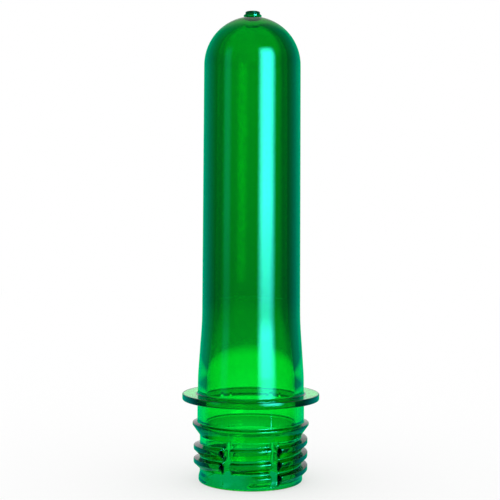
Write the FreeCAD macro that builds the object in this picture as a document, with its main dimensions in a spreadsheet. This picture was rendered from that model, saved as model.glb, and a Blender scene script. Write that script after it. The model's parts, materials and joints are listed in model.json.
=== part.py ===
import FreeCAD, Part
import os
import Sketcher

# Injection-moulded PET preform, standing on its open mouth. Millimetres and degrees.
# The origin is the centre of the rim's face and +Z points along the axis to the closed end.
# Angles about the axis count from the front (-Y) and rise towards +X.

NODE = "preform"
FULL_TURN = 360
QUARTER_TURN = 90
SAME = 0.0001  # how near two lengths count as the same
FILLET = "PartDesign::Fillet"
CHAMFER = "PartDesign::Chamfer"

# Driving sizes: name, value, what it is.
SIZES = [
    ("mouth_bore", "21.74", "diameter of the straight bore behind the mouth"),
    ("finish_wall", "1.355", "wall between the bore and the thread root"),
    ("rim_land_step", "0.29", "how far the rim land stands out from the thread root"),
    ("rim_land_height", "1.1", "height of the rim land"),
    ("rim_land_runout", "1.2", "length of the slope from the land to the root"),
    ("rim_outer_round", "0.4", "round on the outer edge of the rim"),
    ("rim_inner_bevel", "0.3", "bevel on the inner edge of the rim"),
    ("thread_depth", "1.49", "height of the thread's crest over its root"),
    ("thread_pitch", "3.18", "pitch of the single right-hand start"),
    ("thread_root_gap", "0.3", "bare root between two turns"),
    ("load_flank_angle", "15", "slope of the flank that faces the support ring"),
    ("entry_flank_angle", "45", "slope of the flank that faces the rim"),
    ("thread_front_height", "2.6", "height of the first turn's crest at the front"),
    ("thread_start_angle", "-12", "where the thread leaves the root"),
    ("thread_end_angle", "855", "where it has sunk back into the root"),
    ("thread_runout_angle", "17", "turn over which each end rises or sinks"),
    ("thread_seat", "0.3", "how deep the thread's foot reaches into the wall"),
    ("vent_angle", "26.3", "angle of a vent slot from the front or the back"),
    ("vent_start_height", "1.0", "where a vent slot begins above the rim"),
    ("vent_width", "2.1", "width of a vent slot"),
    ("vent_sink", "0.1", "depth of a vent slot's flat floor below the root"),
    ("bead_height", "13.8", "height of the middle of the tamper bead's crest"),
    ("bead_depth", "1.775", "height of the bead's crest over the thread root"),
    ("bead_crest_width", "0.4", "width of the bead's crest"),
    ("bead_entry_length", "2.5", "length of the bead's slope towards the rim"),
    ("bead_back_length", "0.25", "length of its steep slope towards the support ring"),
    ("neck_step", "0.625", "how far the neck behind the bead stands out from the root"),
    ("ring_overhang", "3.65", "how far the support ring stands out from the neck"),
    ("ring_thickness", "1.55", "thickness of the support ring"),
    ("ring_edge_bevel", "0.25", "bevel on both outer edges of the support ring"),
    ("ring_neck_bevel", "0.35", "bevel where the ring meets the neck"),
    ("ring_body_bevel", "0.4", "bevel where the ring meets the body"),
    ("finish_height", "21.05", "rim to the far face of the support ring"),
    ("shoulder_wall", "1.89", "wall between the bore and the outside next to the support ring"),
    ("shoulder_length", "4.0", "length of that cylinder"),
    ("cone_length", "13.35", "length of the outer cone"),
    ("body_diameter", "23.62", "outside of the body where the cone ends"),
    ("body_draft_angle", "0.2", "draft of the body's outside"),
    ("body_wall", "3.03", "wall of the body where the inner cone ends"),
    ("overall_length", "112.6", "rim to the tip of the gate"),
    ("core_straight_length", "6.25", "straight bore beyond the support ring"),
    ("core_cone_length", "12.2", "length of the inner cone"),
    ("core_draft_angle", "0.34", "draft of the body's inside"),
    ("dome_wall", "2.4", "wall at the middle of the closed end"),
    ("gate_height", "1.25", "height of the gate over the dome"),
    ("gate_pad_diameter", "4.3", "disc at the foot of the gate"),
    ("gate_pad_height", "0.5", "height of that disc over the dome"),
    ("gate_stub_diameter", "3.5", "stub that is left where the runner was cut"),
    ("gate_seat", "0.6", "how deep the gate's foot reaches into the dome"),
]

# Sizes that follow from the driving ones: name, formula.
WORKED_OUT = [
    ("bore_radius", "sizes.mouth_bore / 2"),
    ("root_radius", "bore_radius + sizes.finish_wall"),
    ("land_radius", "root_radius + sizes.rim_land_step"),
    ("land_end", "sizes.rim_land_height + sizes.rim_land_runout"),
    ("crest_radius", "root_radius + sizes.thread_depth"),
    ("seat_radius", "root_radius - sizes.thread_seat"),
    ("load_flank", "sizes.thread_depth * tan(sizes.load_flank_angle)"),
    ("entry_flank", "sizes.thread_depth * tan(sizes.entry_flank_angle)"),
    ("crest_width", "sizes.thread_pitch - sizes.thread_root_gap - load_flank - entry_flank"),
    ("start_height", "sizes.thread_front_height + sizes.thread_pitch * sizes.thread_start_angle / 360"),
    ("crest_low", "start_height - crest_width / 2"),
    ("crest_high", "start_height + crest_width / 2"),
    ("foot_low", "crest_low - entry_flank"),
    ("foot_high", "crest_high + load_flank"),
    ("thread_turns", "(sizes.thread_end_angle - sizes.thread_start_angle) / 360"),
    ("start_trim_top", "foot_high + sizes.thread_root_gap / 2"),
    ("end_trim_angle", "sizes.thread_end_angle - sizes.thread_runout_angle"),
    ("end_trim_low", "foot_low + sizes.thread_pitch * (end_trim_angle - sizes.thread_start_angle) / 360"
                     " - sizes.thread_root_gap / 4"),
    ("trim_radius", "crest_radius + sizes.thread_depth"),
    ("root_turned_across", "root_radius * cos(sizes.thread_runout_angle)"),
    ("root_turned_up", "root_radius * sin(sizes.thread_runout_angle)"),
    ("crest_turned_across", "crest_radius * cos(sizes.thread_runout_angle)"),
    ("crest_turned_up", "crest_radius * sin(sizes.thread_runout_angle)"),
    ("trim_turned_across", "trim_radius * cos(sizes.thread_runout_angle)"),
    ("trim_turned_up", "trim_radius * sin(sizes.thread_runout_angle)"),
    ("bead_radius", "root_radius + sizes.bead_depth"),
    ("bead_low", "sizes.bead_height - sizes.bead_crest_width / 2"),
    ("bead_high", "sizes.bead_height + sizes.bead_crest_width / 2"),
    ("bead_foot", "bead_low - sizes.bead_entry_length"),
    ("bead_back", "bead_high + sizes.bead_back_length"),
    ("neck_radius", "root_radius + sizes.neck_step"),
    ("ring_radius", "neck_radius + sizes.ring_overhang"),
    ("ring_low", "sizes.finish_height - sizes.ring_thickness"),
    ("vent_floor", "root_radius - sizes.vent_sink"),
    ("vent_side", "sizes.vent_width / 2"),
    ("vent_other_side", "-vent_side"),
    ("vent_reach", "bead_foot - sizes.vent_start_height"),
    ("shoulder_radius", "bore_radius + sizes.shoulder_wall"),
    ("shoulder_end", "sizes.finish_height + sizes.shoulder_length"),
    ("cone_end", "shoulder_end + sizes.cone_length"),
    ("body_radius", "sizes.body_diameter / 2"),
    ("apex", "sizes.overall_length - sizes.gate_height"),
    ("body_slope", "tan(sizes.body_draft_angle)"),
    ("dome_radius", "(body_radius - (apex - cone_end) * body_slope) / (1 - body_slope)"),
    ("dome_base", "apex - dome_radius"),
    ("core_cone_start", "sizes.finish_height + sizes.core_straight_length"),
    ("core_cone_end", "core_cone_start + sizes.core_cone_length"),
    ("core_radius", "body_radius - sizes.body_wall"),
    ("core_slope", "tan(sizes.core_draft_angle)"),
    ("core_apex", "apex - sizes.dome_wall"),
    ("core_dome_radius", "(core_radius - (core_apex - core_cone_end) * core_slope) / (1 - core_slope)"),
    ("core_dome_base", "core_apex - core_dome_radius"),
    ("gate_foot", "apex - sizes.gate_seat"),
    ("gate_pad_radius", "sizes.gate_pad_diameter / 2"),
    ("gate_stub_radius", "sizes.gate_stub_diameter / 2"),
    ("gate_pad_top", "apex + sizes.gate_pad_height"),
]


def make_sheet(doc, name, rows):
    """A sheet with one size a row, its value in column A under the size's own name."""
    sheet = doc.addObject("Spreadsheet::Sheet", name)
    for row, (alias, value, note) in enumerate(rows, 1):
        sheet.set(f"A{row}", value)
        sheet.setAlias(f"A{row}", alias)
        sheet.set(f"B{row}", note)
    doc.recompute()
    return sheet


def origin_feature(body, role):
    """The origin plane or axis of a body with the given role."""
    return next(item for item in body.Origin.OriginFeatures if item.Role == role)


def make_sketch(body, name, role):
    """A sketch that lies on one of its body's origin planes."""
    sketch = body.newObject("Sketcher::SketchObject", name)
    sketch.AttachmentSupport = [(origin_feature(body, role), "")]
    sketch.MapMode = "FlatFace"
    return sketch


def turn_sketch(sketch, axis, angle):
    """Turns a sketch about one axis of its plane, the part's own axis, to an angle from the front."""
    sketch.AttachmentOffset = FreeCAD.Placement(FreeCAD.Vector(), FreeCAD.Rotation(axis, QUARTER_TURN))
    sketch.setExpression("AttachmentOffset.Rotation.Angle", f"{angle} - {QUARTER_TURN}")


def value_of(doc, size):
    """The present value of a size written as sheet.name, or of a bare 0."""
    if size == "0":
        return 0.0
    sheet, alias = size.split(".")
    return float(doc.getObject(sheet).get(alias))


def points_at(doc, corners):
    """The corners as points of the sketch's plane."""
    return [FreeCAD.Vector(value_of(doc, across), value_of(doc, up), 0) for across, up in corners]


def hold(sketch, edge, across, up):
    """Holds the start of an edge at two named distances from the sketch's origin."""
    for kind, size, axis in (("DistanceX", across, -2), ("DistanceY", up, -1)):
        if size == "0":
            sketch.addConstraint(Sketcher.Constraint("PointOnObject", edge, 1, axis))
        else:
            value = value_of(sketch.Document, size)
            number = sketch.addConstraint(Sketcher.Constraint(kind, -1, 1, edge, 1, value))
            sketch.setExpression(f"Constraints[{number}]", size)


def draw_outline(sketch, corners):
    """A closed outline of straight edges through the given corners."""
    points = points_at(sketch.Document, corners)
    for start, end in zip(points, points[1:] + points[:1]):
        sketch.addGeometry(Part.LineSegment(start, end))
    for number, (across, up) in enumerate(corners):
        before = (number - 1) % len(corners)
        sketch.addConstraint(Sketcher.Constraint("Coincident", before, 2, number, 1))
        hold(sketch, number, across, up)


def draw_domed_outline(sketch, corners, dome_base):
    """A closed outline whose last corner starts a quarter arc, centred on the axis, to the apex."""
    points = points_at(sketch.Document, corners)
    reach = value_of(sketch.Document, corners[-1][0])
    centre = FreeCAD.Vector(0, value_of(sketch.Document, dome_base), 0)
    apex = centre + FreeCAD.Vector(0, reach, 0)
    for start, end in zip(points, points[1:]):
        sketch.addGeometry(Part.LineSegment(start, end))
    circle = Part.Circle(centre, FreeCAD.Vector(0, 0, 1), reach)
    arc = sketch.addGeometry(Part.ArcOfCircle(circle, circle.parameter(points[-1]), circle.parameter(apex)))
    axis = sketch.addGeometry(Part.LineSegment(apex, points[0]))
    for number, (across, up) in enumerate(corners[:-1]):
        hold(sketch, number, across, up)
        sketch.addConstraint(Sketcher.Constraint("Coincident", number, 2, number + 1, 1))
    hold(sketch, arc, *corners[-1])
    sketch.addConstraint(Sketcher.Constraint("PointOnObject", arc, 3, -2))
    sketch.addConstraint(Sketcher.Constraint("Horizontal", arc, 1, arc, 3))
    sketch.addConstraint(Sketcher.Constraint("PointOnObject", arc, 2, -2))
    sketch.addConstraint(Sketcher.Constraint("Coincident", arc, 2, axis, 1))
    sketch.addConstraint(Sketcher.Constraint("Coincident", axis, 2, 0, 1))


def turn_about_axis(body, kind, name, sketch):
    """A full revolution or groove of a sketch about the part's axis."""
    feature = body.newObject(kind, name)
    feature.Profile = sketch
    feature.ReferenceAxis = (origin_feature(body, "Z_Axis"), [""])
    feature.Angle = FULL_TURN
    body.Document.recompute()
    return feature


def edges_at(feature, places):
    """The names of the circular edges that lie at the given radii and heights."""
    names = []
    for place in places:
        radius, height = (value_of(feature.Document, size) for size in place)
        for number, edge in enumerate(feature.Shape.Edges, 1):
            if edge.Degenerated or not isinstance(edge.Curve, Part.Circle):
                continue
            if abs(edge.Curve.Radius - radius) < SAME and abs(edge.Curve.Center.z - height) < SAME:
                names.append(f"Edge{number}")
    return names


def dress_edges(body, kind, name, size, places):
    """A fillet or chamfer of the given size on edges of the body's last feature."""
    base = body.Tip
    dress = body.newObject(kind, name)
    dress.Base = (base, edges_at(base, places))
    dress.setExpression("Radius" if kind == FILLET else "Size", size)
    body.Document.recompute()
    return dress


def make_thread(doc):
    """The helical ridge on its own: a trapezoid swept round the axis, both ends sunk into the root."""
    body = doc.addObject("PartDesign::Body", "thread_ridge")

    section = make_sketch(body, "thread_section", "XZ_Plane")
    turn_sketch(section, FreeCAD.Vector(0, 1, 0), "sizes.thread_start_angle")
    draw_outline(section, [
        ("follows.seat_radius", "follows.foot_low"),
        ("follows.root_radius", "follows.foot_low"),
        ("follows.crest_radius", "follows.crest_low"),
        ("follows.crest_radius", "follows.crest_high"),
        ("follows.root_radius", "follows.foot_high"),
        ("follows.seat_radius", "follows.foot_high"),
    ])
    doc.recompute()

    ridge = body.newObject("PartDesign::AdditiveHelix", "thread_sweep")
    ridge.Profile = section
    ridge.ReferenceAxis = (section, ["V_Axis"])
    ridge.Mode = "pitch-turns-angle"
    ridge.setExpression("Pitch", "sizes.thread_pitch")
    ridge.setExpression("Turns", "follows.thread_turns")
    doc.recompute()

    cut_upwards(body, "start_runout", "sizes.thread_start_angle", "0", "follows.start_trim_top", [
        ("follows.root_radius", "0"),
        ("follows.trim_radius", "0"),
        ("follows.trim_turned_across", "follows.trim_turned_up"),
        ("follows.crest_turned_across", "follows.crest_turned_up"),
    ])
    low = "follows.end_trim_low"
    cut_upwards(body, "end_runout", "follows.end_trim_angle", low, "sizes.thread_pitch", [
        ("follows.crest_radius", "0"),
        ("follows.trim_radius", "0"),
        ("follows.trim_turned_across", "follows.trim_turned_up"),
        ("follows.root_turned_across", "follows.root_turned_up"),
    ])
    return body


def cut_upwards(body, name, angle, height, reach, corners):
    """A pocket along the axis: an outline in plan, turned to an angle, cut upwards from a height."""
    plan = make_sketch(body, name + "_plan", "XY_Plane")
    turn_sketch(plan, FreeCAD.Vector(0, 0, 1), angle)
    plan.setExpression("AttachmentOffset.Base.z", height)
    draw_outline(plan, corners)
    body.Document.recompute()
    before = body.Tip.Shape.Volume
    cut = body.newObject("PartDesign::Pocket", name)
    cut.Profile = plan
    cut.Type = "Length"
    cut.setExpression("Length", reach)
    cut.Reversed = True
    body.Document.recompute()
    if not cut.Shape.Volume < before:
        raise RuntimeError(f"{name} cuts nothing")
    return cut


def cut_vents(body):
    """Four straight slots across the thread, a pair at the front and the same pair at the back."""
    slot = [
        ("follows.vent_floor", "follows.vent_other_side"),
        ("follows.trim_radius", "follows.vent_other_side"),
        ("follows.trim_radius", "follows.vent_side"),
        ("follows.vent_floor", "follows.vent_side"),
    ]
    pair = [
        cut_upwards(body, name, angle, "sizes.vent_start_height", "follows.vent_reach", slot)
        for name, angle in (("vent_right", "sizes.vent_angle"), ("vent_left", "-sizes.vent_angle"))
    ]
    before = body.Tip.Shape.Volume
    pattern = body.newObject("PartDesign::PolarPattern", "vents")
    pattern.Originals = pair
    pattern.Axis = (origin_feature(body, "Z_Axis"), [""])
    pattern.Angle = FULL_TURN
    pattern.Occurrences = 2
    body.Tip = pattern
    body.Document.recompute()
    if not pattern.Shape.Volume < before:
        raise RuntimeError("the vents at the back cut nothing")


def make_preform(doc):
    """The whole moulding: turned outside, thread, vents, gate and the cavity left by the core."""
    thread = make_thread(doc)
    body = doc.addObject("PartDesign::Body", NODE)
    body.Label = NODE
    body.Placement = FreeCAD.Placement()

    outside = make_sketch(body, "outside_profile", "XZ_Plane")
    draw_domed_outline(outside, [
        ("0", "0"),
        ("follows.land_radius", "0"),
        ("follows.land_radius", "sizes.rim_land_height"),
        ("follows.root_radius", "follows.land_end"),
        ("follows.root_radius", "follows.bead_foot"),
        ("follows.bead_radius", "follows.bead_low"),
        ("follows.bead_radius", "follows.bead_high"),
        ("follows.neck_radius", "follows.bead_back"),
        ("follows.neck_radius", "follows.ring_low"),
        ("follows.ring_radius", "follows.ring_low"),
        ("follows.ring_radius", "sizes.finish_height"),
        ("follows.shoulder_radius", "sizes.finish_height"),
        ("follows.shoulder_radius", "follows.shoulder_end"),
        ("follows.body_radius", "follows.cone_end"),
        ("follows.dome_radius", "follows.dome_base"),
    ], "follows.dome_base")
    doc.recompute()
    turn_about_axis(body, "PartDesign::Revolution", "outside", outside)

    dress_edges(body, FILLET, "rim_edge", "sizes.rim_outer_round", [
        ("follows.land_radius", "0"),
    ])
    dress_edges(body, CHAMFER, "ring_edge", "sizes.ring_edge_bevel", [
        ("follows.ring_radius", "follows.ring_low"),
        ("follows.ring_radius", "sizes.finish_height"),
    ])
    dress_edges(body, CHAMFER, "ring_neck_root", "sizes.ring_neck_bevel", [
        ("follows.neck_radius", "follows.ring_low"),
    ])
    dress_edges(body, CHAMFER, "ring_body_root", "sizes.ring_body_bevel", [
        ("follows.shoulder_radius", "sizes.finish_height"),
    ])

    gate = make_sketch(body, "gate_profile", "XZ_Plane")
    draw_outline(gate, [
        ("0", "follows.gate_foot"),
        ("follows.gate_pad_radius", "follows.gate_foot"),
        ("follows.gate_pad_radius", "follows.gate_pad_top"),
        ("follows.gate_stub_radius", "follows.gate_pad_top"),
        ("follows.gate_stub_radius", "sizes.overall_length"),
        ("0", "sizes.overall_length"),
    ])
    doc.recompute()
    turn_about_axis(body, "PartDesign::Revolution", "gate", gate)

    join = body.newObject("PartDesign::Boolean", "thread_join")
    join.Type = "Fuse"
    join.setObjects([thread])
    doc.recompute()
    cut_vents(body)

    cavity = make_sketch(body, "cavity_profile", "XZ_Plane")
    draw_domed_outline(cavity, [
        ("0", "0"),
        ("follows.bore_radius", "0"),
        ("follows.bore_radius", "follows.core_cone_start"),
        ("follows.core_radius", "follows.core_cone_end"),
        ("follows.core_dome_radius", "follows.core_dome_base"),
    ], "follows.core_dome_base")
    doc.recompute()
    before = body.Tip.Shape.Volume
    hollow = turn_about_axis(body, "PartDesign::Groove", "cavity", cavity)
    if not hollow.Shape.Volume < before:
        raise RuntimeError("the cavity cuts nothing")
    dress_edges(body, CHAMFER, "mouth_edge", "sizes.rim_inner_bevel", [("follows.bore_radius", "0")])
    return body


def check(doc):
    """Stops if any object failed or the part isn't one valid solid."""
    for item in doc.Objects:
        if {"Invalid", "Error"} & set(item.State):
            raise RuntimeError(f"{item.Name} failed: {item.State}")
    shape = doc.getObject(NODE).Shape
    if shape.isNull() or not shape.isValid() or len(shape.Solids) != 1:
        raise RuntimeError(f"{NODE} is not one valid solid")


def main():
    doc = FreeCAD.newDocument("pet_preform")
    make_sheet(doc, "sizes", SIZES)
    make_sheet(doc, "follows", [(alias, "=" + formula, "") for alias, formula in WORKED_OUT])
    body = make_preform(doc)
    doc.recompute()
    check(doc)
    os.makedirs("parts", exist_ok=True)
    body.Shape.exportStep(f"parts/{body.Label}.step")
    print(f"{body.Label}: volume {body.Shape.Volume / 1000:.3f} cm3, box {body.Shape.BoundBox}")


main()
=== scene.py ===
"""The look of a moulded PET bottle preform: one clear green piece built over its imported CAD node.

Sizes are in millimetres until the mesh is written, and angles about the axis count in degrees
from the front (-Y) towards +X.
"""
import json
import math

import bmesh
import bpy
import numpy as np
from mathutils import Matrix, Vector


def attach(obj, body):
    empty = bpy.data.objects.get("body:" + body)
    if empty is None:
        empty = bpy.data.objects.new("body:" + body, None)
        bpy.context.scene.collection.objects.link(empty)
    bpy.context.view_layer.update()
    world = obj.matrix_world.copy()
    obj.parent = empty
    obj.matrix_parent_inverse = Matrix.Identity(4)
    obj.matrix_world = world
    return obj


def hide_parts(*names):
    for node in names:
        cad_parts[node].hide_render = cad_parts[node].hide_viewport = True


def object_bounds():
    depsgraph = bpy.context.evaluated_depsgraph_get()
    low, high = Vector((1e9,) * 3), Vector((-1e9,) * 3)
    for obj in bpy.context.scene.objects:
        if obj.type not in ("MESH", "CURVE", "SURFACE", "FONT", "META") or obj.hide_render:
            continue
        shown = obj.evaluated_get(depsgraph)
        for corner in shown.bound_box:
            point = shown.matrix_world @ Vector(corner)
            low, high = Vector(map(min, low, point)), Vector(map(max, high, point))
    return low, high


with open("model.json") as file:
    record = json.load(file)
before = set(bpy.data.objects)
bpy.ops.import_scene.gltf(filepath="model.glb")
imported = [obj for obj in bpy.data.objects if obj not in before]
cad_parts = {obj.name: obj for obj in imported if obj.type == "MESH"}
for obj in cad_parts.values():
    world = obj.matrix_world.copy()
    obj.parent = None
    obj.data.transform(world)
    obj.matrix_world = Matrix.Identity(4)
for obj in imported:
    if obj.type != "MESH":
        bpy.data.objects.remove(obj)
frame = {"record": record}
cad_low, cad_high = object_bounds()

MM = 0.001
NODE = "preform"


def mount(name):
    """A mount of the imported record."""
    return next(m for m in frame["record"]["mounts"] if m["name"] == name)


# Sizes that the frame gives.
BORE_R = mount("neck_bore")["dims"]["r_mm"]
RING_R = cad_high.x / MM
LENGTH = cad_high.z / MM
RING_TOP = mount("ring_rail_face")["pos_m"][2] / MM

# Neck finish.
NECK_WALL = 1.355
ROOT_R = BORE_R + NECK_WALL
LAND_STEP, LAND_TOP, LAND_FADE = 0.29, 1.1, 2.3
THREAD_DEPTH, PITCH = 1.49, 3.18
CREST_HALF, ENTRY_FLANK, LOAD_FLANK = 0.496, 1.49, 0.4
FRONT_HEIGHT = 2.6
THREAD_START, THREAD_END, RUNOUT = -12, 855, 17
VENTS = (26.3, 153.7, 206.3, 333.7)
VENT_HALF_ANGLE, VENT_FLOOR = 4.64, ROOT_R - 0.1
VENT_LOW, VENT_TOP, VENT_FADE = 1.0, 11.1, 0.2
VENT_EDGE = 0.4
MERGE = 5  # the higher, the tighter the thread meets the surface under it
BEAD_FOOT, BEAD_LOW, BEAD_HIGH, BEAD_BACK = 11.1, 13.55, 14.05, 14.3
BEAD_R = ROOT_R + 1.775
NECK_R = ROOT_R + 0.625
RING_LOW = RING_TOP - 1.55

# Body, closed end and gate.
SHOULDER_R, SHOULDER_TOP = BORE_R + 1.89, RING_TOP + 4.0
SHOULDER_BEND, BODY_BEND = 40, 60
BODY_R, CONE_TOP = 11.81, RING_TOP + 17.35
GATE_HEIGHT, CLOSED_WALL = 1.25, 2.4
APEX = LENGTH - GATE_HEIGHT
DOME_R = 11.596
CORE_CONE_LOW, CORE_CONE_TOP = RING_TOP + 4.0, RING_TOP + 18.45
CORE_BEND_LOW, CORE_BEND_TOP = 110, 60
CORE_R, CORE_DOME_R, CORE_APEX = 8.78, 8.418, APEX - CLOSED_WALL
PAD_R, PAD_TOP, STUB_R = 2.15, APEX + 0.5, 1.75

# The mesh.
COLUMN_STEP = 1.5
FIRST_COLUMN, LAST_COLUMN = -14, 865  # the strip that follows the thread starts and ends here
ARC_STEP = 20


def rounded(corners):
    """Points along an outline of (radius, height, rounding) corners, each rounded by an arc."""
    points = [corners[0][:2]]
    for before, corner, after in zip(corners, corners[1:], corners[2:]):
        here = np.array(corner[:2])
        back = np.array(before[:2]) - here
        ahead = np.array(after[:2]) - here
        back /= np.linalg.norm(back)
        ahead /= np.linalg.norm(ahead)
        half = math.acos(max(-1, min(1, float(back @ ahead)))) / 2
        turn = math.pi - 2 * half
        if not corner[2] or turn < 1e-4:
            points.append(tuple(here))
            continue
        centre = here + (back + ahead) / np.linalg.norm(back + ahead) * corner[2] / math.sin(half)
        steps = max(2, math.ceil(math.degrees(turn) / ARC_STEP))
        start = here + back * corner[2] / math.tan(half) - centre
        side = 1 if back[0] * ahead[1] - back[1] * ahead[0] < 0 else -1
        for step in range(steps + 1):
            angle = side * turn * step / steps
            points.append((
                centre[0] + start[0] * math.cos(angle) - start[1] * math.sin(angle),
                centre[1] + start[0] * math.sin(angle) + start[1] * math.cos(angle),
            ))
    points.append(corners[-1][:2])
    return points


def dome(radius, base, lowest, highest, steps):
    """Points of a dome's arc between two angles above its base."""
    angles = np.radians(np.linspace(lowest, highest, steps))
    return [(radius * math.cos(a), base + radius * math.sin(a)) for a in angles]


def smooth(value, low, high):
    """0 below low, 1 above high, and an even blend between."""
    t = np.clip((value - low) / (high - low), 0, 1)
    return t * t * (3 - 2 * t)


def column_angles():
    """One turn of mesh columns, with rounded and steep ones at each vent's two walls."""
    even = np.arange(FIRST_COLUMN, FIRST_COLUMN + 360, COLUMN_STEP)
    edge = math.degrees(VENT_EDGE / ROOT_R)
    close = 1 - np.sin(np.radians((0, 30, 60, 90)))
    on_floor = -0.15
    offsets = VENT_HALF_ANGLE + np.append(close * edge, on_floor)
    walls = [vent + side * off for vent in VENTS for side in (-1, 1) for off in offsets]
    clear = [a for a in even if min(abs(a - w) for w in walls) > COLUMN_STEP / 3]
    return np.array(sorted(clear + walls) + [FIRST_COLUMN + 360])


def base_height(z):
    """The turned surface between the rim and the bead, as height over the thread root."""
    land = LAND_STEP * (1 - smooth(z, LAND_TOP, LAND_FADE))
    past = z - BEAD_FOOT
    slope = (BEAD_R - ROOT_R) / (BEAD_LOW - BEAD_FOOT)
    softness = 0.12
    return land + slope * (past + np.sqrt(past * past + softness * softness)) / 2


def thread_section():
    """(height over the root, offset along the axis) of one pitch of the thread, from gap to gap."""
    low = -CREST_HALF - ENTRY_FLANK
    gap = 0.075
    return rounded([
        (0, low - gap, 0),
        (0, low, 0.15),
        (THREAD_DEPTH * 0.5, low + ENTRY_FLANK * 0.5, 0),
        (THREAD_DEPTH, -CREST_HALF, 0.25),
        (THREAD_DEPTH, 0, 0),
        (THREAD_DEPTH, CREST_HALF, 0.2),
        (THREAD_DEPTH * 0.5, CREST_HALF + LOAD_FLANK * 0.5, 0),
        (0, CREST_HALF + LOAD_FLANK, 0.15),
        (0, low - gap + PITCH, 0),
    ])


def thread_height(z):
    """Crest centre of the thread at an unwound angle."""
    return FRONT_HEIGHT + PITCH * z / 360


def neck_surface(angle, z, height):
    """Radius of the threaded neck where the thread's section has the given height over the root."""
    rise = np.clip((angle - THREAD_START) / RUNOUT, 0, 1)
    sink = np.clip((THREAD_END - angle) / RUNOUT, 0, 1)
    height = np.minimum(height, THREAD_DEPTH * np.minimum(rise, sink))
    radius = ROOT_R + (height**MERGE + base_height(z) ** MERGE) ** (1 / MERGE)
    reach = smooth(z, VENT_LOW - VENT_FADE, VENT_LOW)
    reach = reach * (1 - smooth(z, VENT_TOP, VENT_TOP + VENT_FADE))
    for vent in VENTS:
        off = np.abs((angle - vent + 180) % 360 - 180)
        floor = VENT_FLOOR / np.cos(np.radians(np.minimum(off, 30)))
        past_wall = np.radians(off - VENT_HALF_ANGLE) * ROOT_R
        inward = np.clip(VENT_EDGE - past_wall, 0, VENT_EDGE)
        drop = VENT_EDGE - np.sqrt(np.maximum(VENT_EDGE**2 - inward**2, 0))
        wall = np.maximum(radius - drop, np.minimum(floor, radius))
        cut = np.where(past_wall < -1e-6, floor, wall)
        radius = radius + (np.minimum(cut, radius) - radius) * reach
    return radius


def round_the_axis(angle, radius, z):
    """Points at an angle from the front, a radius and a height."""
    turn = np.radians(angle)
    return np.stack(np.broadcast_arrays(radius * np.sin(turn), -radius * np.cos(turn), z), axis=-1)


def lathe(rows, angles):
    """A grid of points for an outline turned about the axis."""
    outline = np.array(rows)
    return round_the_axis(angles[None, :], outline[:, 0:1], outline[:, 1:2])


def neck_grids(angles):
    """The threaded neck: a strip that follows the thread, and a fan of faces below and above it."""
    turns = np.concatenate([angles[:-1] + 360 * k for k in range(3)])
    strip = np.append(turns[turns < LAST_COLUMN - 1e-6], LAST_COLUMN)[None, :]
    section = np.array(thread_section())
    height, offset = section[:, 0:1], section[:, 1:2]
    z = thread_height(strip) + offset
    grids = [round_the_axis(strip, neck_surface(strip, z, height), z)]

    part = (angles[None, :] - FIRST_COLUMN) / 360
    low = thread_height(FIRST_COLUMN) + offset[0, 0]
    z = low + part * (offset - offset[0, 0])
    grids.append(round_the_axis(angles[None, :], neck_surface(angles[None, :], z, 0 * z), z))

    last = strip[:, strip[0] >= LAST_COLUMN - 360 - 1e-6]
    part = (last - LAST_COLUMN + 360) / 360
    high = thread_height(LAST_COLUMN) + offset[-1, 0]
    z = high - (1 - part) * (offset[-1, 0] - offset)
    grids.append(round_the_axis(last, neck_surface(last, z, 0 * z), z))
    return grids, low, high


def preform_grids():
    """The whole skin of the preform, from the inside's apex down to the rim and up to the gate."""
    angles = column_angles()
    neck, low, high = neck_grids(angles)
    core_base = CORE_APEX - CORE_DOME_R
    land_r, start_r = (ROOT_R + float(base_height(np.array(z))) for z in (low, high))
    inside = dome(CORE_DOME_R, core_base, 90, 0, 20) + rounded([
        (CORE_DOME_R, core_base, 0),
        (CORE_R, CORE_CONE_TOP, CORE_BEND_TOP),
        (BORE_R, CORE_CONE_LOW, CORE_BEND_LOW),
        (BORE_R, 0, 0.3),
        (land_r, 0, 0.4),
        (land_r, low, 0),
    ])[1:]
    dome_base = APEX - DOME_R
    pad_foot = math.degrees(math.acos((PAD_R + 0.25) / DOME_R))
    outside = rounded([
        (start_r, high, 0),
        (BEAD_R, BEAD_LOW, 0.2),
        (BEAD_R, BEAD_HIGH, 0.15),
        (NECK_R, BEAD_BACK, 0.2),
        (NECK_R, RING_LOW, 0.4),
        (RING_R, RING_LOW, 0.3),
        (RING_R, RING_TOP, 0.3),
        (SHOULDER_R, RING_TOP, 0.45),
        (SHOULDER_R, SHOULDER_TOP, SHOULDER_BEND),
        (BODY_R, CONE_TOP, BODY_BEND),
        (DOME_R, dome_base, 0),
    ])
    closed_end = dome(DOME_R, dome_base, 0, pad_foot, 24)[1:]
    foot = dome_base + math.sqrt(DOME_R**2 - PAD_R**2)
    gate = rounded([
        (*closed_end[-1], 0),
        (PAD_R, foot, 0.12),
        (PAD_R, PAD_TOP, 0.1),
        (STUB_R, PAD_TOP, 0.1),
        (STUB_R, LENGTH, 0.15),
        (0, LENGTH, 0),
    ])[1:]
    return [lathe(inside, angles), *neck, lathe(outside + closed_end + gate, angles)]


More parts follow.
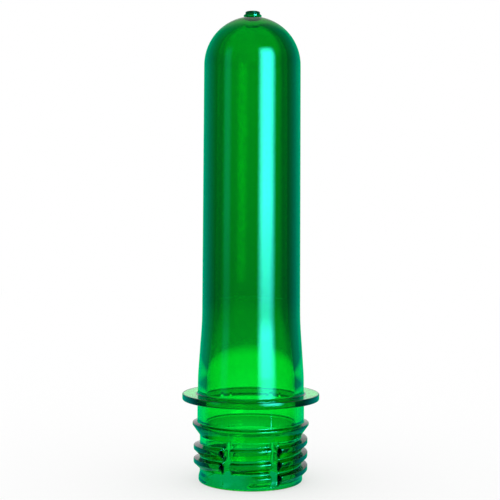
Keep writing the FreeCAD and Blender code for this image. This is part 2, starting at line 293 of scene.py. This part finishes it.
def make_mesh(name, grids):
    """One closed mesh from grids of points that meet edge to edge."""
    bm = bmesh.new()
    for grid in grids:
        rows = [[bm.verts.new(point * MM) for point in row] for row in grid]
        for lower, upper in zip(rows, rows[1:]):
            for i in range(len(lower) - 1):
                bm.faces.new((lower[i], lower[i + 1], upper[i + 1], upper[i]))
    bmesh.ops.remove_doubles(bm, verts=bm.verts, dist=1e-7)
    bmesh.ops.recalc_face_normals(bm, faces=bm.faces)
    for face in bm.faces:
        face.smooth = True
    mesh = bpy.data.meshes.new(name)
    bm.to_mesh(mesh)
    bm.free()
    heights = np.array([v.co.z for v in mesh.vertices])
    # Marks the gate's cut: the material makes it rough and darkens it with painted shade
    cut = mesh.attributes.new("cut_gate", "FLOAT", "POINT")
    cut.data.foreach_set("value", (heights > (PAD_TOP - 0.05) * MM).astype(np.float32))
    piece = bpy.data.objects.new(name, mesh)
    bpy.context.scene.collection.objects.link(piece)
    even = piece.modifiers.new("even_normals", "WEIGHTED_NORMAL")
    even.mode = "FACE_AREA"
    even.weight = 100
    return piece


def linked(node, index, source):
    """Sets a node's input to a number, or links another node's output to it."""
    if isinstance(source, bpy.types.NodeSocket):
        node.id_data.links.new(source, node.inputs[index])
    else:
        node.inputs[index].default_value = source


def calculate(tree, operation, first, second=0.0):
    """The output of a Math node."""
    node = tree.nodes.new("ShaderNodeMath")
    node.operation = operation
    linked(node, 0, first)
    linked(node, 1, second)
    return node.outputs[0]


def ramp(tree, value, low, high, at_low, at_high, smooth_ends=False):
    """The output of a Map Range node: at_low up to low, at_high from high on."""
    node = tree.nodes.new("ShaderNodeMapRange")
    if smooth_ends:
        node.interpolation_type = "SMOOTHSTEP"
    for index, source in enumerate((value, low, high, at_low, at_high)):
        linked(node, index, source)
    return node.outputs[0]


def blend(tree, share, first, second):
    """A mix of two numbers."""
    node = tree.nodes.new("ShaderNodeMix")
    linked(node, 0, share)
    linked(node, 2, first)
    linked(node, 3, second)
    return node.outputs[0]


def noise(tree, place, scale, detail):
    """Noise with its own count of lumps per metre along each axis."""
    stretch = tree.nodes.new("ShaderNodeVectorMath")
    stretch.operation = "MULTIPLY"
    linked(stretch, 0, place)
    linked(stretch, 1, scale)
    node = tree.nodes.new("ShaderNodeTexNoise")
    linked(node, "Vector", stretch.outputs[0])
    linked(node, "Scale", 1.0)
    linked(node, "Detail", detail)
    return node.outputs["Fac"]


def pet_material():
    """Clear green PET, with faint scuffs and flow lines, and a rough cut on the gate, darkened with
    painted shade.

    The volume tints by depth. The coat, which bends no light, tints by slant, so that edges turn
    teal. It fades where the surface lies flat, as on the ring.
    """
    scuff_lumps, flow_lumps = (150, 150, 40), (260, 260, 50)
    # The gate's roughness is real; its darker green and blue are painted shade
    gate_painted_shade_green, gate_painted_shade_blue, cut_roughness = 0.12, 0.06, 0.5
    mat = bpy.data.materials.new("clear_green_pet")
    mat.use_nodes = True
    tree = mat.node_tree
    shader = tree.nodes["Principled BSDF"]
    attribute = tree.nodes.new("ShaderNodeAttribute")
    attribute.attribute_name = "cut_gate"
    cut = attribute.outputs["Fac"]
    colour = tree.nodes.new("ShaderNodeCombineColor")
    linked(colour, 0, 0.0)
    linked(colour, 1, blend(tree, cut, 1.0, gate_painted_shade_green))
    linked(colour, 2, blend(tree, cut, 0.8, gate_painted_shade_blue))
    linked(shader, "Base Color", colour.outputs[0])
    shader.inputs["Transmission Weight"].default_value = 1
    shader.inputs["IOR"].default_value = 1.575
    place = tree.nodes.new("ShaderNodeTexCoord").outputs["Object"]
    gloss = ramp(tree, noise(tree, place, scuff_lumps, 3), 0.45, 0.75, 0.0, 0.05)
    linked(shader, "Roughness", blend(tree, cut, gloss, cut_roughness))
    flow = tree.nodes.new("ShaderNodeBump")
    linked(flow, "Height", noise(tree, place, flow_lumps, 2))
    linked(flow, "Strength", 0.3)
    linked(flow, "Distance", 0.00004)
    linked(shader, "Normal", flow.outputs[0])
    facing = tree.nodes.new("ShaderNodeSeparateXYZ")
    linked(facing, 0, tree.nodes.new("ShaderNodeNewGeometry").outputs["Normal"])
    flat = calculate(tree, "ABSOLUTE", facing.outputs["Z"])
    linked(shader, "Coat Weight", ramp(tree, flat, 0.6, 0.95, 1.0, 0.0, True))
    shader.inputs["Coat IOR"].default_value = 1.0
    shader.inputs["Coat Roughness"].default_value = 0.0
    shader.inputs["Coat Tint"].default_value = (0.06, 1.0, 0.92, 1)
    depth = tree.nodes.new("ShaderNodeVolumeAbsorption")
    depth.inputs["Color"].default_value = (0.0, 0.89, 0.55, 1)
    depth.inputs["Density"].default_value = 2000
    linked(tree.nodes["Material Output"], "Volume", depth.outputs[0])
    return mat


def floor_material():
    """Matt floor, white to the camera.

    Through the plastic it glows with painted light, up to twice as bright as white, in a ring about
    the part: a painted shadow dims it close under the rim, and it is painted dimmer far away.
    """
    seen_share, seen_glow = 0.45, 0.55
    mat = bpy.data.materials.new("pale_floor")
    mat.use_nodes = True
    tree = mat.node_tree
    shader = tree.nodes["Principled BSDF"]
    path = tree.nodes.new("ShaderNodeLightPath")
    reach = tree.nodes.new("ShaderNodeVectorMath")
    reach.operation = "LENGTH"
    linked(reach, 0, tree.nodes.new("ShaderNodeTexCoord").outputs["Object"])
    # Painted light and shade for what the plastic sees: dimmer far away, a painted shadow close
    # under the rim, and a painted glow on top
    far = ramp(tree, reach.outputs["Value"], 0.4, 0.75, 1.0, 0.4)
    close = ramp(tree, reach.outputs["Value"], 0.0, 0.12, 0.35, 1.0)
    bright = calculate(tree, "MULTIPLY", far, close)
    share = blend(tree, path.outputs["Is Camera Ray"], bright, seen_share)
    glow = calculate(tree, "MULTIPLY", path.outputs["Is Transmission Ray"], bright)
    glow = blend(tree, path.outputs["Is Camera Ray"], glow, seen_glow)
    colour = tree.nodes.new("ShaderNodeCombineColor")
    for index in range(3):
        linked(colour, index, share)
    linked(shader, "Base Color", colour.outputs[0])
    shader.inputs["Roughness"].default_value = 1
    shader.inputs["Specular IOR Level"].default_value = 0
    shader.inputs["Emission Color"].default_value = (1, 1, 1, 1)
    linked(shader, "Emission Strength", glow)
    return mat


def make_floor():
    """A plain pale floor under the rim, which reflections leave out."""
    bm = bmesh.new()
    bmesh.ops.create_circle(bm, cap_ends=True, segments=96, radius=0.9)
    mesh = bpy.data.meshes.new("floor")
    bm.to_mesh(mesh)
    bm.free()
    floor = bpy.data.objects.new("floor", mesh)
    bpy.context.scene.collection.objects.link(floor)
    mesh.materials.append(floor_material())
    floor.visible_glossy = False


def make_world():
    """White surroundings, to the camera and to matt surfaces.

    Through the plastic they are four bright panels with dim gaps between, brighter with height.
    Reflections see a dim grey, with a lighter stretch at eye level behind the part.
    """
    world = bpy.data.worlds.new("surroundings")
    bpy.context.scene.world = world
    world.use_nodes = True
    tree = world.node_tree
    path = tree.nodes.new("ShaderNodeLightPath")
    split = tree.nodes.new("ShaderNodeSeparateXYZ")
    linked(split, 0, tree.nodes.new("ShaderNodeTexCoord").outputs["Generated"])
    x, y, z = split.outputs
    bearing = calculate(tree, "ARCTAN2", x, y)
    panels = calculate(tree, "COSINE", calculate(tree, "MULTIPLY", bearing, 4.0))
    rise = ramp(tree, z, -0.06, 0.16, 0.69, 1.14)
    gap = ramp(tree, x, -0.2, 0.2, 0.6, 0.38)
    panel = ramp(tree, panels, -0.1, 0.5, gap, 1.0)
    through = calculate(tree, "MULTIPLY", rise, panel)
    dim_grey = 0.2
    eye_level = ramp(tree, calculate(tree, "ABSOLUTE", z), 0.2, 0.6, 0.6, 0.25)
    behind = ramp(tree, y, 0.1, 0.5, 0.0, 1.0)
    mirrored = calculate(tree, "ADD", calculate(tree, "MULTIPLY", behind, eye_level), dim_grey)
    seen = blend(tree, path.outputs["Is Transmission Ray"], mirrored, through)
    shown = blend(tree, path.outputs["Is Glossy Ray"], 1.0, seen)
    linked(tree.nodes["Background"], "Color", shown)


def make_softbox(name, bearing, half_spread, low, top, level, inside_level):
    """A tall softbox, 1 m away, seen only in reflections.

    Its strength is level in the outer surface, and inside_level once light has been through one.
    It fades to both sides and to the top, and is half as strong near the floor.
    """
    distance = 1.0
    core = 0.25  # share of the half width at full strength
    foot = (-0.02, 0.11, 0.5, 1.0)
    head = (0.6 * top, top, 1.0, 0.0)
    half_width = distance * math.tan(math.radians(half_spread))
    turn = math.radians(bearing)
    lamp = bpy.data.lights.new(name, "AREA")
    lamp.shape = "RECTANGLE"
    lamp.size, lamp.size_y = 2 * half_width, top - low
    lamp.energy = math.pi * lamp.size * lamp.size_y
    lamp.use_nodes = True
    tree = lamp.node_tree
    path = tree.nodes.new("ShaderNodeLightPath")
    place = tree.nodes.new("ShaderNodeNewGeometry").outputs["Position"]
    across = tree.nodes.new("ShaderNodeVectorMath")
    across.operation = "DOT_PRODUCT"
    linked(across, 0, place)
    linked(across, 1, (math.cos(turn), math.sin(turn), 0))
    split = tree.nodes.new("ShaderNodeSeparateXYZ")
    linked(split, 0, place)
    off = calculate(tree, "ABSOLUTE", across.outputs["Value"])
    strength = ramp(tree, off, core * half_width, half_width, 1.0, 0.0, True)
    for fade in (foot, head):
        strength = calculate(tree, "MULTIPLY", strength, ramp(tree, split.outputs["Z"], *fade))
    inside = calculate(tree, "GREATER_THAN", path.outputs["Transmission Depth"], 0.5)
    mirrored = calculate(tree, "GREATER_THAN", path.outputs["Glossy Depth"], 0.5)
    strength = calculate(tree, "MULTIPLY", strength, blend(tree, inside, level, inside_level))
    strength = calculate(tree, "MULTIPLY", strength, mirrored)
    linked(tree.nodes["Emission"], "Strength", strength)
    box = bpy.data.objects.new(name, lamp)
    box.location = (distance * math.sin(turn), -distance * math.cos(turn), (low + top) / 2)
    box.rotation_euler = (math.radians(90), 0, turn)
    box.visible_camera = False
    box.visible_diffuse = False
    bpy.context.scene.collection.objects.link(box)


def make_camera():
    """The camera in front of the part, level but for a slight tilt and roll."""
    distance, eye, aside = 254, 58.3, -0.38
    width_in_view = 120.424  # millimetres, at the axis
    down, roll = 0.0113, -0.005
    lens = bpy.data.cameras.new("camera")
    lens.sensor_width = 36
    lens.lens = distance * lens.sensor_width / width_in_view
    camera = bpy.data.objects.new("camera", lens)
    camera.location = (aside * MM, -distance * MM, eye * MM)
    camera.rotation_euler = (math.radians(90) - down, roll, 0)
    bpy.context.scene.collection.objects.link(camera)
    bpy.context.scene.camera = camera


make_camera()
make_world()
SOFTBOX_LOW, SOFTBOX_TOP = -0.13, 0.83
make_softbox("key_softbox", 35, 24, SOFTBOX_LOW, SOFTBOX_TOP, 21, 9)
make_softbox("fill_softbox", -60, 13, SOFTBOX_LOW, SOFTBOX_TOP, 0.9, 0)
make_floor()

piece = make_mesh("preform_skin", preform_grids())
piece.data.materials.append(pet_material())
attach(piece, "root")
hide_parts(NODE)

bpy.context.scene.view_settings.view_transform = "Standard"
